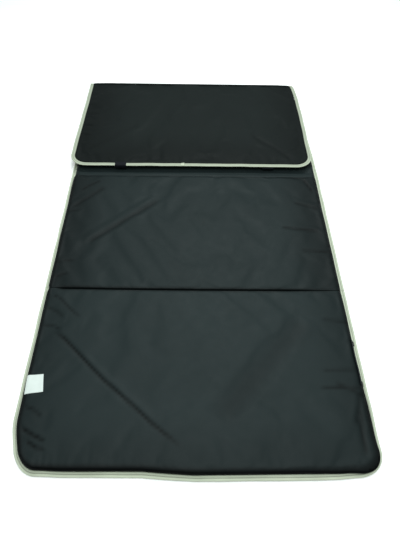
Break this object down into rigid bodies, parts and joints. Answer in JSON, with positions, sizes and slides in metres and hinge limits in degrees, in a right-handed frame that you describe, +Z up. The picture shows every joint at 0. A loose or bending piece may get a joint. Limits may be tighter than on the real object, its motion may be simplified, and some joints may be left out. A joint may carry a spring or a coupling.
{
  "type": "folding futon mattress",
  "caption": "Thin folding futon mattress of foam panels in a dark cover with a pale bound edge; the end panel lies folded back, with webbing straps, a side carry handle and a care label.",
  "frame": {"origin": "middle of the mattress's footprint as it lies with panel 4 folded back, on the floor", "axes": "+Z up; +Y from panel 1's bound end towards fold 3; +X to the right, where the carry handle is"},
  "size_m": [0.8, 1.412, 0.04],
  "materials": {
    "foam": "open-cell foam, matt",
    "cover_fabric": "satin woven polyester",
    "binding_tape": "matt folded tape",
    "webbing": "matt woven webbing",
    "label_cloth": "smooth printed-label cloth, blank"
  },
  "bodies": {
    "panel_2": {"foam_core_2": "foam", "upper_cover_2": "cover_fabric", "lower_cover_2": "cover_fabric", "binding_2_left": "binding_tape", "binding_2_right": "binding_tape", "fold_strip_1": "cover_fabric", "fold_web_2": "cover_fabric"},
    "panel_1": {"foam_core_1": "foam", "upper_cover_1": "cover_fabric", "lower_cover_1": "cover_fabric", "binding_1": "binding_tape"},
    "panel_3": {"foam_core_3": "foam", "upper_cover_3": "cover_fabric", "lower_cover_3": "cover_fabric", "binding_3_left": "binding_tape", "binding_3_right": "binding_tape", "fold_spine_3": "cover_fabric"},
    "panel_4": {"foam_core_4": "foam", "upper_cover_4": "cover_fabric", "lower_cover_4": "cover_fabric", "binding_4_left": "binding_tape", "binding_4_right": "binding_tape"},
    "strap_left": {"strap_left": "webbing"},
    "strap_right": {"strap_right": "webbing"},
    "handle": {"carry_handle": "webbing"},
    "label": {"care_label": "label_cloth"}
  },
  "joints": [
    {"name": "fold_1", "type": "hinge", "parent": "panel_2", "child": "panel_1", "pos_m": [0, -0.24, 0.0206], "axis": [-1, 0, 0], "range_deg": [0, 179.95]},
    {"name": "fold_2", "type": "hinge", "parent": "panel_2", "child": "panel_3", "pos_m": [0, 0.228, 0.0412], "axis": [1, 0, 0], "range_deg": [0, 179.95]},
    {"name": "fold_3", "type": "hinge", "parent": "panel_3", "child": "panel_4", "pos_m": [0, 0.696, 0.02], "axis": [1, 0, 0], "range_deg": [-179.95, 0], "deforming": ["fold_spine_3"]},
    {"name": "strap_left_swing", "type": "hinge", "parent": "panel_4", "child": "strap_left", "pos_m": [-0.241, 0.229, 0.0376], "axis": [1, 0, 0], "range_deg": [-90, 0]},
    {"name": "strap_right_swing", "type": "hinge", "parent": "panel_4", "child": "strap_right", "pos_m": [0.233, 0.229, 0.0376], "axis": [1, 0, 0], "range_deg": [-90, 0]},
    {"name": "handle_swing", "type": "hinge", "parent": "panel_1", "child": "handle", "pos_m": [0.38764, -0.445, 0.00828], "axis": [0, 1, 0], "range_deg": [0, 100]},
    {"name": "label_lift", "type": "hinge", "parent": "panel_1", "child": "label", "pos_m": [-0.38824, -0.5065, 0.00728], "axis": [0, -1, 0], "range_deg": [0, 110]}
  ]
}
